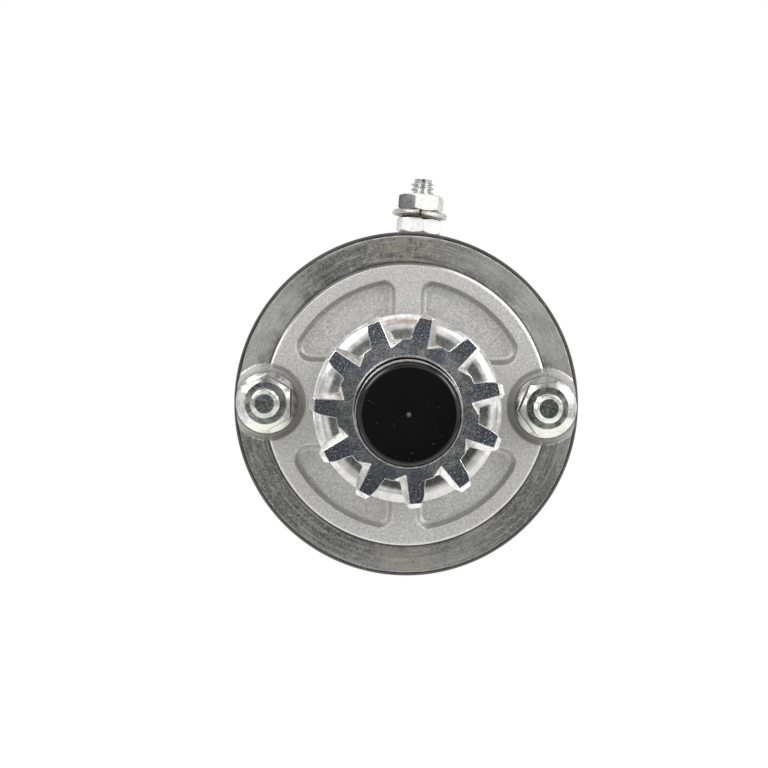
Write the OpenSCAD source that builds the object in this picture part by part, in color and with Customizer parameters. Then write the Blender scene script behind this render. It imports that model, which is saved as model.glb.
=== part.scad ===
// Small 12 V permanent-magnet starter motor with an open inertia drive.
// Every piece is drawn about the shaft axis with z = 0 on the mounting face and z growing
// towards the pinion. drive_end_forward() then turns it so that the drive end faces -Y, the
// through bolts lie on the X axis and the battery terminal points up.

/* [Case] */
// Outer diameter of the motor
case_d = 76.2; // [75:0.1:78]
// Wall of the steel case tube
case_wall = 3.0; // [2.6:0.1:3.2]
// Length of the case tube
case_len = 100; // [98:1:110]
// Depth of the rear end cap
rear_len = 13; // [12:1:16]

/* [Drive end cap] */
// Depth of the drive end cap behind the mounting face
cap_len = 14; // [12:1:16]
// Diameter of the raised pilot
pilot_d = 62.4; // [61:0.1:63]
// Height of the raised pilot above the mounting face
pilot_h = 3.0; // [2.5:0.1:3.5]
// Width of the two upright ribs between the pockets
rib_w = 5.3; // [4:0.1:7]
// Height of the web that joins the two bolt bosses
web_h = 18; // [16:0.5:20]
// Outer radius of the four cast pockets
pocket_r = 27.85; // [27:0.05:28]
// Depth of the cast pockets
pocket_depth = 2.3; // [1.5:0.1:2.5]

/* [Through bolts] */
// Diameter of the circle through both bolts
bolt_pcd = 61.2; // [61:0.1:61.6]
// Thread diameter of the bolts and of the terminal
thread_d = 6.35; // [6:0.05:6.4]
// Length of bolt that stands out of the nut
bolt_end = 4.0; // [3:0.1:6]
// Across flats of the quarter-inch nuts
nut_af = 11.1; // [10.8:0.1:11.2]
// Diameter of the flange on the bolt nuts
nut_flange_d = 14.2; // [13.5:0.1:14.4]

/* [Drive] */
// Teeth on the pinion
teeth = 11; // [9:1:13]
// Pitch diameter of the pinion
pitch_d = 34.925; // [34.9:0.005:35]
// Outer diameter of the pinion
tip_d = 40; // [39.5:0.1:40]
// Root diameter of the pinion
root_d = 29.2; // [29:0.1:30]
// Face width of the pinion teeth
face_w = 9.6; // [9:0.1:9.8]
// Distance from the mounting face to the front of the pinion
pinion_front = 37; // [36.8:0.1:37.2]
// Travel of the pinion into the ring gear
travel = 17; // [15:0.5:17]
// Advance of the drive per turn on the screw splines
helix_lead = 80; // [70:1:100]
// Outer diameter of the clutch cup
clutch_d = 39.7; // [39.5:0.1:40]

/* [Terminal] */
// Clock angle of the battery terminal, from the right-hand bolt
terminal_angle = 85.4; // [84:0.2:96]
// Distance of the terminal behind the mounting face
terminal_back = 104; // [103:0.5:105]
// Distance from the shaft axis to the terminal's end
terminal_reach = 57.9; // [57:0.1:62]

/* [Armature] */
// Diameter of the laminated core
core_d = 54.2; // [53.8:0.1:54.3]
// Number of armature slots and commutator bars
slots = 16; // [14:1:18]

/* [Hidden] */
$fn = 96;

case_r = case_d / 2;
bore_r = case_r - case_wall;
tube_front = -cap_len;
tube_back = tube_front - case_len;
rear_z = tube_back - rear_len;
bolt_x = bolt_pcd / 2;
thread_r = thread_d / 2;
mean_thread_r = thread_r - 0.3;
bolt_hole_r = thread_r + 0.25;
rim_chamfer = 0.8;
gasket_t = 0.8;
spigot_t = 2.5;
spigot_len = 5;
cavity_r = 26;
pilot_r = pilot_d / 2;
pilot_chamfer = 0.5;

boss_base_r = 8.35;
boss_top_r = 7.3;
boss_limit_r = case_r - rim_chamfer - 0.05;
boss_top = pilot_h + 0.2;
nut_flange_h = 1.5;
nut_h = 5.6;
nut_top = boss_top + nut_h;
bolt_tip = nut_top + bolt_end;
bolt_head_h = 4.2;

journal_r = 6.0;
spline_r = 6.35;
spindle_r = 5.0;
rear_journal_r = 4.5;
bush_gap = 0.04;
front_bush_r = 8.5;
front_bush_back = -17;
rear_bush_r = 7.0;
rear_bush_front = rear_z + 8;
core_bore_r = 5.5;
spline_back = pilot_h + 1.3;
shaft_front = 55;

core_r = core_d / 2;
core_front = -31;
core_back = -83;
magnet_gap = 0.8;
magnet_span = 64;
magnet_front = -27;
magnet_back = -87;
bar_front = -92;
bar_back = -109;
bar_r = 12.5;
bar_hub_r = 8.2;
slot_in_r = 17;
slot_mid_r = 24.2;
slot_w = 4.6;
slot_mouth_w = 1.8;

clutch_r = clutch_d / 2;
clutch_back = 5.5;
clutch_front = pinion_front - face_w - 0.6;
cover_t = 1.0;
cover_edge_r = 2.5;
shell_r = clutch_r - cover_t - 0.05;
race_out_r = 16.9;
race_in_r = 12.8;
shell_floor = 2.8;
shell_front = clutch_front - cover_t - 0.05;
roller_r = 1.95;
roller_ring_r = (race_out_r + race_in_r) / 2;
rollers = 6;
roller_back = clutch_back + shell_floor + 0.8;
roller_len = 13.5;

sleeve_r = 8.5;
sleeve_bore_r = spline_r + 0.15;
sleeve_front = 20;
splines = 5;
seat_h = 1.0;
seat_r = 8.5;
gear_bore_r = 10.8;
cup_r = 10.45;
cup_inner_r = 10.1;
pinion_bush_front = 14.5;
cup_back = pinion_bush_front + travel + 0.3;
cup_front = 56.5;
retainer_z = 50;
retainer_h = 3;
cap_face = 57.2;
spring_wire_r = 0.7;
spring_r = 7.3;
spring_turns = 7;

plate_z = -112;
plate_h = 1.6;
brush_count = 4;
brush_w = 7;
brush_t = 6;
brush_out_r = 22;
holder_out_r = 27.5;
brush_z = -104.5;

head_z = 31.2;
nut_seat_1 = 42.85;
nut_seat_2 = 49;
terminal_nut_h = 4.8;
lock_washer_r = 7.55;
terminal_hole_r = 5;

// Turns a piece drawn about +Z so that its +Z faces the drive end.
module drive_end_forward() {
    rotate([90, 0, 0]) children();
}

// Repeats a piece at both through bolts.
module at_bolts() {
    for (side = [-1, 1]) translate([side * bolt_x, 0, 0]) children();
}

// Repeats a piece round the shaft axis.
module around(count, start = 0) {
    for (i = [0 : count - 1]) rotate(start + i * 360 / count) children();
}

// Stands a piece on the terminal's axis, with z as the distance from the shaft axis.
module on_terminal() {
    translate([0, 0, -terminal_back]) rotate(terminal_angle) rotate([0, 90, 0]) children();
}

// A round tube or washer.
module tube(r_out, r_in, z0, z1) {
    difference() {
        translate([0, 0, z0]) cylinder(r = r_out, h = z1 - z0);
        translate([0, 0, z0 - 1]) cylinder(r = r_in, h = z1 - z0 + 2);
    }
}

// A bolt with a rolled thread: its shank, and its fit in the nut, have the thread's mean radius.
module threaded_rod(z0, nut_end, z1, chamfer) {
    rotate_extrude() polygon([
        [0, z0], [mean_thread_r, z0], [mean_thread_r, nut_end], [thread_r, nut_end],
        [thread_r, z1 - chamfer], [thread_r - chamfer, z1], [0, z1]
    ]);
}

// Flat ring sector between two radii.
module sector(r_out, r_in, half_angle, steps = 16) {
    arc = [for (i = [-steps : steps]) i * half_angle / steps];
    polygon(concat(
        [for (a = arc) r_out * [cos(a), sin(a)]],
        [for (a = arc) r_in * [cos(-a), sin(-a)]]
    ));
}

// A hex whose front corners are cut back by a cone of 30 degrees.
module hex_body(af, z0, h, turn = 0) {
    corner_r = af / sqrt(3);
    flat_r = af / 2 - 0.9;
    chamfer_h = (corner_r + 0.1 - flat_r) * tan(30);
    intersection() {
        translate([0, 0, z0]) rotate(turn + 30) cylinder(r = corner_r, h = h, $fn = 6);
        rotate_extrude() polygon([
            [0, z0], [corner_r + 0.1, z0], [corner_r + 0.1, z0 + h - chamfer_h],
            [flat_r, z0 + h], [0, z0 + h]
        ]);
    }
}

// One quarter pocket: ring sector bounded by the upright rib and the level web.
module pocket_outline() {
    inner_r = 17;
    corner = 2.8;
    offset(r = corner) offset(delta = -corner) intersection() {
        difference() {
            circle(r = pocket_r);
            circle(r = inner_r);
        }
        translate([rib_w / 2, web_h / 2]) square(pocket_r);
    }
}

module drive_end_cap_local() {
    difference() {
        union() {
            rotate_extrude() polygon([
                [0, -cap_len], [case_r, -cap_len], [case_r, -rim_chamfer],
                [case_r - rim_chamfer, 0], [pilot_r, 0], [pilot_r, pilot_h - pilot_chamfer],
                [pilot_r - pilot_chamfer, pilot_h], [0, pilot_h]
            ]);
            tube(bore_r, bore_r - spigot_t, -cap_len - spigot_len, -cap_len + 1);
            intersection() {
                at_bolts() cylinder(r1 = boss_base_r, r2 = boss_top_r, h = boss_top);
                cylinder(r = boss_limit_r, h = boss_top);
            }
            at_bolts() translate([0, 0, -cap_len - spigot_len + 1])
                cylinder(r = 4.5, h = spigot_len);
            translate([0, 0, front_bush_back]) cylinder(r = 13, h = 10);
        }
        difference() {
            translate([0, 0, -cap_len - 1]) cylinder(r = cavity_r, h = cap_len - 5);
            translate([0, 0, -cap_len - 2]) cylinder(r = 13, h = cap_len);
            around(4, 45) translate([0, -1.5, -cap_len]) cube([cavity_r, 3, cap_len]);
        }
        translate([0, 0, -cap_len - spigot_len]) cylinder(r = front_bush_r, h = 40);
        at_bolts() translate([0, 0, -cap_len - spigot_len - 1]) cylinder(r = bolt_hole_r, h = 40);
        for (sx = [0, 1], sy = [0, 1]) mirror([sx, 0, 0]) mirror([0, sy, 0])
            translate([0, 0, pilot_h - pocket_depth]) linear_extrude(pocket_depth + 1)
                pocket_outline();
    }
}

module drive_end_cap() {
    color("silver") drive_end_forward() drive_end_cap_local();
}

module case_tube() {
    color([0.07, 0.07, 0.075]) drive_end_forward() difference() {
        tube(case_r, bore_r, tube_back, tube_front);
        on_terminal() cylinder(r = terminal_hole_r, h = case_d);
    }
}

module rear_end_cap() {
    wall = 3.2;
    corner = 2.5;
    boss_r = 11;
    boss_back = rear_z - 5;
    joint_z = tube_back - gasket_t;
    color([0.09, 0.09, 0.095]) drive_end_forward() difference() {
        union() {
            rotate_extrude() polygon([
                [0, rear_z], [case_r - corner, rear_z],
                for (a = [-75 : 15 : 0])
                    [case_r - corner + corner * cos(a), rear_z + corner + corner * sin(a)],
                [case_r, joint_z], [0, joint_z]
            ]);
            tube(bore_r, bore_r - spigot_t, joint_z - 1, tube_back + 4);
            rotate_extrude() polygon([
                [0, boss_back], [boss_r - 1.2, boss_back], [boss_r, boss_back + 1.2],
                [boss_r + 0.8, rear_z + 1], [0, rear_z + 1]
            ]);
            at_bolts() translate([0, 0, rear_z - 1.2]) cylinder(r = 7.4, h = 3);
        }
        difference() {
            translate([0, 0, rear_z + wall]) cylinder(r = bore_r - spigot_t, h = rear_len);
            translate([0, 0, rear_z]) cylinder(r = boss_r, h = 8);
            at_bolts() translate([0, 0, rear_z]) cylinder(r = 6, h = rear_len);
        }
        translate([0, 0, rear_z - 2]) cylinder(r = rear_bush_r, h = 20);
        at_bolts() translate([0, 0, rear_z - 2]) cylinder(r = bolt_hole_r, h = 30);
    }
}

module rear_gasket() {
    color("dimgray") drive_end_forward()
        tube(case_r - 0.15, bore_r, tube_back - gasket_t, tube_back);
}

module front_bushing() {
    color("peru") drive_end_forward()
        tube(front_bush_r, journal_r + bush_gap, front_bush_back, pilot_h);
}

module rear_bushing() {
    color("peru") drive_end_forward()
        tube(rear_bush_r, rear_journal_r + bush_gap, rear_z - 2, rear_bush_front);
}

module field_magnets() {
    color("dimgray") drive_end_forward() around(4, 45)
        translate([0, 0, magnet_back]) linear_extrude(magnet_front - magnet_back)
            sector(bore_r - 0.02, core_r + magnet_gap, magnet_span / 2);
}

// Spring clips that push neighbouring magnets apart at the top and the bottom.
module magnet_springs() {
    half = 90 / 2 - magnet_span / 2;
    clip_t = 0.8;
    color("slategray") drive_end_forward() around(2, 90)
        translate([0, 0, magnet_back + 4]) linear_extrude(magnet_front - magnet_back - 8)
            difference() {
                sector(bore_r - 0.1, core_r + magnet_gap + 1.5, half - 0.05, 6);
                sector(bore_r - 0.1 - clip_t, 0.1, half - 1.6, 6);
            }
}

module through_bolts() {
    shank_back = rear_z - 1.2;
    color("gainsboro") drive_end_forward() at_bolts() {
        threaded_rod(shank_back, nut_top, bolt_tip, 1.2);
        translate([0, 0, shank_back]) mirror([0, 0, 1]) hex_body(nut_af, 0, bolt_head_h, 12);
    }
}

// Serrated-flange hex nuts; the right-hand one has stopped at another angle.
module flange_nuts() {
    turns = [0, 38];
    sink = 0.5;
    color("gainsboro") drive_end_forward() for (i = [0, 1])
        translate([(2 * i - 1) * bolt_x, 0, 0]) difference() {
            union() {
                hex_body(nut_af, boss_top + 0.6, nut_h - 0.6, turns[i]);
                rotate_extrude() polygon([
                    [0, boss_top], [nut_flange_d / 2, boss_top],
                    [nut_flange_d / 2, boss_top + 0.7], [nut_af / 2 + 0.4, boss_top + nut_flange_h],
                    [0, boss_top + nut_flange_h]
                ]);
            }
            translate([0, 0, boss_top - 1]) cylinder(r = mean_thread_r, h = nut_h + 2);
            translate([0, 0, nut_top - sink])
                cylinder(r1 = mean_thread_r, r2 = mean_thread_r + sink + 0.1, h = sink + 0.1);
        }
}

module terminal_stud() {
    head_h = 2.6;
    dog_r = 2.55;
    nuts_end = nut_seat_2 + terminal_nut_h;
    color("gainsboro") drive_end_forward() on_terminal() {
        translate([-5, -4.5, head_z]) cube([10, 9, head_h]);
        rotate_extrude() polygon([
            [0, head_z], [thread_r, head_z], [thread_r, nut_seat_1],
            [mean_thread_r, nut_seat_1], [mean_thread_r, nuts_end], [thread_r, nuts_end],
            [thread_r, terminal_reach - 1.4],
            [dog_r, terminal_reach - 0.7], [dog_r, terminal_reach - 0.2],
            [dog_r - 0.2, terminal_reach], [0, terminal_reach]
        ]);
    }
}

// Moulded bush that carries the stud through the case wall.
module terminal_bush() {
    color("tan") drive_end_forward() on_terminal()
        tube(terminal_hole_r - 0.1, thread_r + 0.05, bore_r - 0.6, case_r + 0.6);
}

module terminal_inner_insulator() {
    color("tan") drive_end_forward() on_terminal()
        tube(6, thread_r + 0.05, 33.85, bore_r - 0.62);
}

// Insulating washer under the lower nut, shaped to the round case.
module terminal_washer() {
    color("tan") drive_end_forward() difference() {
        on_terminal() tube(terminal_hole_r + 0.9, thread_r + 0.05, case_r - 2, nut_seat_1);
        translate([0, 0, tube_back]) cylinder(r = case_r + 0.05, h = case_len);
        on_terminal() cylinder(r = terminal_hole_r, h = case_r + 0.62);
    }
}

module terminal_hex_nut(z0, turn) {
    slope = 0.5;
    corner_r = nut_af / sqrt(3);
    difference() {
        intersection() {
            hex_body(nut_af, z0, terminal_nut_h, turn);
            rotate_extrude() polygon([
                [0, z0], [nut_af / 2 - 0.1, z0], [corner_r + 0.1, z0 + slope],
                [corner_r + 0.1, z0 + terminal_nut_h + 1], [0, z0 + terminal_nut_h + 1]
            ]);
        }
        translate([0, 0, z0 - 1]) cylinder(r = mean_thread_r, h = terminal_nut_h + 2);
    }
}

module terminal_lower_nut() {
    color("whitesmoke") drive_end_forward() on_terminal() terminal_hex_nut(nut_seat_1, -18);
}

// Split lock washer with a thick round edge, gap towards the drive end.
module terminal_lock_washer() {
    edge_r = 0.85;
    inner_r = thread_r + 0.2;
    web_t = nut_seat_2 - nut_seat_1 - terminal_nut_h - 0.02;
    middle = (nut_seat_1 + terminal_nut_h + nut_seat_2) / 2;
    color("lightgray") drive_end_forward() on_terminal() difference() {
        translate([0, 0, middle]) rotate_extrude() {
            translate([lock_washer_r - edge_r, 0]) circle(r = edge_r, $fn = 32);
            translate([inner_r, -web_t / 2]) square([lock_washer_r - edge_r - inner_r, web_t]);
        }
        rotate(180) rotate([25, 0, 0]) translate([0, -0.3, -5]) cube([12, 0.6, 10]);
    }
}

module terminal_upper_nut() {
    color("whitesmoke") drive_end_forward() on_terminal() terminal_hex_nut(nut_seat_2, 15);
}

module brush_plate() {
    color("saddlebrown") drive_end_forward() difference() {
        tube(bore_r - spigot_t, 14, plate_z - plate_h, plate_z);
        at_bolts() translate([0, 0, plate_z - 5]) cylinder(r = thread_r + 0.6, h = 10);
    }
}

module brush_holders() {
    wall = 1;
    height = brush_w + 2 * wall;
    color("goldenrod") drive_end_forward() around(brush_count, 45) difference() {
        translate([bar_r + 1.2, -brush_t / 2 - wall, plate_z])
            cube([holder_out_r - bar_r - 1.2, brush_t + 2 * wall, height + 3]);
        translate([bar_r, -brush_t / 2 - 0.1, brush_z - brush_w / 2 - 0.1])
            cube([holder_out_r - bar_r - wall, brush_t + 0.2, brush_w + 0.2]);
    }
}

module brushes() {
    color([0.2, 0.2, 0.2]) drive_end_forward() around(brush_count, 45) difference() {
        translate([bar_r - 1, -brush_t / 2, brush_z - brush_w / 2])
            cube([brush_out_r - bar_r + 1, brush_t, brush_w]);
        translate([0, 0, bar_back - 1]) cylinder(r = bar_r + 0.05, h = 30);
    }
}

// Flat coil springs behind the brushes, drawn as their closed outer shape.
module brush_springs() {
    color("silver") drive_end_forward() around(brush_count, 45)
        translate([brush_out_r, 0, brush_z]) rotate([0, 90, 0])
            tube(2.4, 1.6, 0.05, holder_out_r - brush_out_r - 1.05);
}

// Copper lead from the terminal's head to the two insulated brush holders.
module brush_leads() {
    lead_r = 0.9;
    ring_r = 29.4;
    lead_z = plate_z + 1.2;
    color("chocolate") drive_end_forward() {
        translate([0, 0, lead_z]) rotate(40) rotate_extrude(angle = 100)
            translate([ring_r, 0]) circle(r = lead_r, $fn = 24);
        on_terminal() translate([-4, -2.5, ring_r + 0.7])
            cube([12, 5, head_z - ring_r - 0.7]);
        for (a = [45, 135]) rotate(a) translate([holder_out_r, 0, lead_z])
            rotate([0, 90, 0]) cylinder(r = lead_r, h = ring_r - holder_out_r);
    }
}

// Screw splines: lobed section twisted at the drive's own lead.
module spline_section(tip_r, foot_r, width) {
    intersection() {
        circle(r = tip_r, $fn = 48);
        union() {
            circle(r = foot_r, $fn = 48);
            around(splines) translate([0, -width / 2]) square([tip_r, width]);
        }
    }
}

module armature_shaft() {
    spline_len = sleeve_front + travel + 2.3 - spline_back;
    foot_r = 5.2;
    groove_r = 0.7;
    tip_chamfer = 0.6;
    neck_z = front_bush_back - 5;
    shoulder_z = rear_bush_front + 1.2;
    color("lightsteelblue") drive_end_forward() difference() {
        union() {
            translate([0, 0, rear_z]) cylinder(r = rear_journal_r, h = 12);
            translate([0, 0, shoulder_z]) cylinder(r = core_bore_r, h = neck_z - shoulder_z + 0.5);
            translate([0, 0, neck_z]) cylinder(r = journal_r, h = spline_back - neck_z + 0.3);
            translate([0, 0, spline_back]) cylinder(r = foot_r, h = spline_len);
            translate([0, 0, spline_back]) linear_extrude(spline_len,
                twist = -360 * spline_len / helix_lead, slices = 32, $fn = 12)
                    spline_section(spline_r, foot_r, 3.2);
            rotate_extrude() polygon([
                [0, 30], [spindle_r, 30], [spindle_r, shaft_front - tip_chamfer],
                [spindle_r - tip_chamfer, shaft_front], [0, shaft_front]
            ]);
        }
        tube(spindle_r + 1, spindle_r - groove_r, retainer_z + retainer_h + 0.2,
            retainer_z + retainer_h + 1.3);
    }
}

// Laminated core with open slots for the windings.
module slot_outline(grow) {
    union() {
        translate([slot_in_r - grow, -slot_w / 2 - grow])
            square([slot_mid_r - slot_in_r + 2 * grow, slot_w + 2 * grow]);
        translate([slot_mid_r - 1, -slot_mouth_w / 2])
            square([core_r - slot_mid_r + 3, slot_mouth_w]);
    }
}

module armature_core() {
    color("gray") drive_end_forward() difference() {
        tube(core_r, core_bore_r, core_back, core_front);
        around(slots, 360 / slots / 2) translate([0, 0, core_back - 1])
            linear_extrude(core_front - core_back + 2) slot_outline(0.4);
    }
}

module slot_insulators() {
    color("moccasin") drive_end_forward() around(slots, 360 / slots / 2)
        translate([0, 0, core_back]) linear_extrude(core_front - core_back) difference() {
            translate([slot_in_r - 0.38, -slot_w / 2 - 0.38])
                square([slot_mid_r - slot_in_r + 0.76, slot_w + 0.76]);
            translate([slot_in_r, -slot_w / 2])
                square([slot_mid_r - slot_in_r, slot_w]);
        }
}

module armature_windings() {
    over = 5.5;
    color([0.72, 0.38, 0.2]) drive_end_forward() {
        around(slots, 360 / slots / 2) translate([slot_in_r + 0.1, -slot_w / 2 + 0.1, core_back - 1])
            cube([slot_mid_r - slot_in_r - 0.2, slot_w - 0.2, core_front - core_back + 2]);
        for (end = [core_front + 0.6, core_back - over - 0.6]) {
            tube(slot_mid_r + 0.6, slot_in_r - 4, end, end + over);
        }
    }
}

module commutator_hub() {
    color("darkred") drive_end_forward()
        tube(bar_hub_r, core_bore_r, bar_back, bar_front);
}

module commutator_bars() {
    gap_angle = 2.4;
    riser = 1.6;
    color("chocolate") drive_end_forward() around(slots) {
        translate([0, 0, bar_back]) linear_extrude(bar_front - bar_back)
            sector(bar_r, bar_hub_r, 180 / slots - gap_angle, 4);
        translate([0, 0, bar_front - riser]) linear_extrude(riser)
            sector(bar_r + 2.5, bar_hub_r, 180 / slots - gap_angle, 4);
    }
}

module thrust_washers() {
    color("goldenrod") drive_end_forward() {
        tube(9.5, journal_r + 0.1, front_bush_back - 1.4, front_bush_back - 0.2);
        tube(8.5, rear_journal_r + 0.1, rear_bush_front + 0.1, rear_bush_front + 1.1);
        tube(11, journal_r + 0.1, pilot_h + 0.2, pilot_h + 1.2);
    }
}

// Return spring, drawn as closed rings joined by their slope.
module return_spring() {
    z0 = sleeve_front + seat_h;
    span = retainer_z - z0 - 2 * spring_wire_r;
    steps = 20;
    sides = 8;
    count = spring_turns * steps;
    function spin(i) = 360 * i / steps;
    function ring_point(i, j) = let (
        side = spring_r + spring_wire_r * cos(360 * j / sides),
        rise = z0 + spring_wire_r + span * i / count + spring_wire_r * sin(360 * j / sides)
    ) [side * cos(spin(i)), side * sin(spin(i)), rise];
    points = [for (i = [0 : count], j = [0 : sides - 1]) ring_point(i, j)];
    skin = [for (i = [0 : count - 1], j = [0 : sides - 1]) let (k = (j + 1) % sides)
        [i * sides + j, i * sides + k, (i + 1) * sides + k, (i + 1) * sides + j]];
    near_end = [[for (j = [sides - 1 : -1 : 0]) j]];
    far_end = [[for (j = [0 : sides - 1]) count * sides + j]];
    color("silver") drive_end_forward()
        polyhedron(points, concat(skin, near_end, far_end), convexity = 10);
}

module spring_seat_washer() {
    color("silver") drive_end_forward()
        tube(seat_r, spline_r + 0.3, sleeve_front, sleeve_front + seat_h);
}

module spring_retainer() {
    color("lightgray") drive_end_forward()
        tube(cup_inner_r, spindle_r, retainer_z, retainer_z + retainer_h);
}

module retaining_ring() {
    color("dimgray") drive_end_forward() difference() {
        tube(spindle_r + 1.2, spindle_r - 0.7, retainer_z + retainer_h + 0.2,
            retainer_z + retainer_h + 1.2);
        translate([0, -1.2, retainer_z]) cube([10, 2.4, 10]);
    }
}

module spring_cup() {
    color("gainsboro") drive_end_forward()
        tube(cup_r, cup_inner_r, cup_back, cup_front);
}

module dust_cap() {
    shoulder = 1.1;
    centre_r = cup_inner_r - shoulder;
    inside_r = 8.4;
    color([0.05, 0.05, 0.05]) drive_end_forward() rotate_extrude() polygon([
        [0, cap_face - 1.6], [inside_r, cap_face - 1.6], [inside_r, retainer_z + retainer_h],
        [cup_inner_r, retainer_z + retainer_h],
        for (a = [0 : 15 : 90])
            [centre_r + shoulder * cos(a), cap_face - shoulder + shoulder * sin(a)],
        [0, cap_face]
    ]);
}

module clutch_shell() {
    back_edge = 1.5;
    front_edge = 1.6;
    color("gray") drive_end_forward() rotate_extrude() polygon([
        [sleeve_r, clutch_back], [shell_r - back_edge, clutch_back],
        [shell_r, clutch_back + back_edge], [shell_r, shell_front - front_edge],
        [shell_r - front_edge, shell_front], [race_out_r, shell_front],
        [race_out_r, clutch_back + shell_floor], [sleeve_r, clutch_back + shell_floor]
    ]);
}

// Pressed cover drawn over the clutch shell, its back edge crimped round the shell.
module clutch_cover() {
    lip = 1.9;
    crimp = 1.2;
    hole_r = race_in_r + 0.3;
    bend_r = clutch_r - cover_edge_r;
    bend_z = clutch_front - cover_edge_r;
    bend = [for (a = [0 : 10 : 90]) [cos(a), sin(a)]];
    inner_bend = [for (a = [90 : -10 : 0]) [cos(a), sin(a)]];
    color("gainsboro") drive_end_forward() rotate_extrude() polygon(concat(
        [[clutch_r - lip, clutch_back], [clutch_r - crimp, clutch_back],
            [clutch_r, clutch_back + crimp]],
        [for (p = bend) [bend_r, bend_z] + cover_edge_r * p],
        [[hole_r, clutch_front], [hole_r, clutch_front - cover_t]],
        [for (p = inner_bend) [bend_r, bend_z] + (cover_edge_r - cover_t) * p],
        [[clutch_r - cover_t, clutch_back + crimp + 0.35]]
    ));
}

// Screw sleeve: its keys run in the grooves between the shaft's splines.
module screw_sleeve() {
    key_w = 2.3;
    key_tip_r = 5.5;
    sleeve_len = sleeve_front - clutch_back;
    start = 360 / splines / 2 + 360 * (clutch_back - spline_back) / helix_lead;
    color("darkgray") drive_end_forward() {
        tube(sleeve_r, sleeve_bore_r, clutch_back, sleeve_front);
        translate([0, 0, clutch_back]) linear_extrude(sleeve_len,
            twist = -360 * sleeve_len / helix_lead, slices = 14, $fn = 12)
                around(splines, start) translate([key_tip_r, -key_w / 2])
                    square([sleeve_bore_r - key_tip_r + 0.5, key_w]);
    }
}

module clutch_cage() {
    cage_out_r = race_out_r - 0.1;
    cage_in_r = race_in_r + 0.3;
    color("khaki") drive_end_forward() difference() {
        tube(cage_out_r, cage_in_r, roller_back - 0.7, roller_back + roller_len + 0.5);
        around(rollers) translate([roller_ring_r, 0, roller_back - 0.1])
            cylinder(r = roller_r + 0.1, h = roller_len + 0.2);
        around(rollers) translate([roller_ring_r - 1.5, 0, roller_back + 1])
            cube([3, 6.2, roller_len - 2]);
    }
}

module clutch_rollers() {
    color("lightgray") drive_end_forward() around(rollers)
        translate([roller_ring_r, 0, roller_back]) cylinder(r = roller_r, h = roller_len);
}

module clutch_springs() {
    color("silver") drive_end_forward() around(rollers) for (up = [0.3, 0.7])
        translate([roller_ring_r, roller_r + 0.15, roller_back + up * roller_len])
            rotate([-90, 0, 0]) cylinder(r = 1.1, h = 3.6);
}

// Involute tooth form: half angle of the tooth at radius r.
tooth_t = 4.45;
pressure_angle = 20;
base_r = pitch_d / 2 * cos(pressure_angle);
function involute(a) = tan(a) * 180 / PI - a;
function half_angle(r) = tooth_t / pitch_d * 180 / PI + involute(pressure_angle)
    - involute(acos(min(1, base_r / r)));

module tooth_outline() {
    steps = 7;
    tip_r = tip_d / 2;
    foot_r = root_d / 2 - 0.6;
    radii = [for (i = [0 : steps]) base_r + (tip_r - base_r) * i / steps];
    side = [for (r = radii) r * [cos(half_angle(r)), sin(half_angle(r))]];
    foot_half = half_angle(base_r) + 3;
    foot = foot_r * [cos(foot_half), sin(foot_half)];
    polygon(concat(
        [foot], side,
        [for (i = [steps : -1 : 0]) [side[i].x, -side[i].y]], [[foot.x, -foot.y]]
    ));
}

// Prism that chamfers the tip of the tooth that points along +X, at both ends.
module tip_chamfers() {
    front = 1.0;
    rear = 0.3;
    spare = 1;
    tip_r = tip_d / 2;
    rotate([90, 0, 0]) linear_extrude(8, center = true) polygon([
        [tip_r - front - spare, face_w + spare], [tip_r + spare, face_w + spare],
        [tip_r + spare, -spare], [tip_r - rear - spare, -spare], [tip_r, rear],
        [tip_r, face_w - front]
    ]);
}

// Cutter that takes the lead-in bevel off one flank of each tooth and notches the root beside it.
module tooth_bevel() {
    slope = 0.9;
    inner_r = 13.1;
    edge_offset = 1.25;
    edge_angle = 2.7;
    width = 2.5;
    skew = 0.25;
    depth = width * slope;
    run_out = (skew + 0.15) * width;
    reach = tip_d / 2 - inner_r + 1;
    tiny = 0.01;
    translate([inner_r, -edge_offset, face_w]) rotate(edge_angle) hull() {
        linear_extrude(1)
            polygon([[0, 0], [reach, 0], [reach, -width], [skew * width, -width]]);
        translate([run_out, -width, -depth]) cube([reach - run_out, tiny, tiny]);
    }
}

module pinion_gear() {
    tooth_phase = 13.2;
    bore_chamfer = 0.35;
    back = pinion_front - face_w;
    neck_back = clutch_back + shell_floor + 0.5;
    color("lightsteelblue") drive_end_forward() difference() {
        union() {
            translate([0, 0, back]) linear_extrude(face_w) union() {
                circle(r = root_d / 2);
                around(teeth, tooth_phase) tooth_outline();
            }
            translate([0, 0, neck_back]) cylinder(r = race_in_r, h = back - neck_back + 0.5);
        }
        translate([0, 0, back]) around(teeth, tooth_phase) {
            tip_chamfers();
            tooth_bevel();
        }
        cylinder(r = gear_bore_r, h = pinion_front + 1);
        translate([0, 0, pinion_front - bore_chamfer])
            cylinder(r1 = gear_bore_r, r2 = gear_bore_r + bore_chamfer + 0.1, h = bore_chamfer + 0.1);
    }
}

module pinion_bushing() {
    back = clutch_back + shell_floor + 0.9;
    color("peru") drive_end_forward()
        tube(gear_bore_r - 0.03, sleeve_r + 0.05, back, pinion_bush_front);
}

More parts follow.
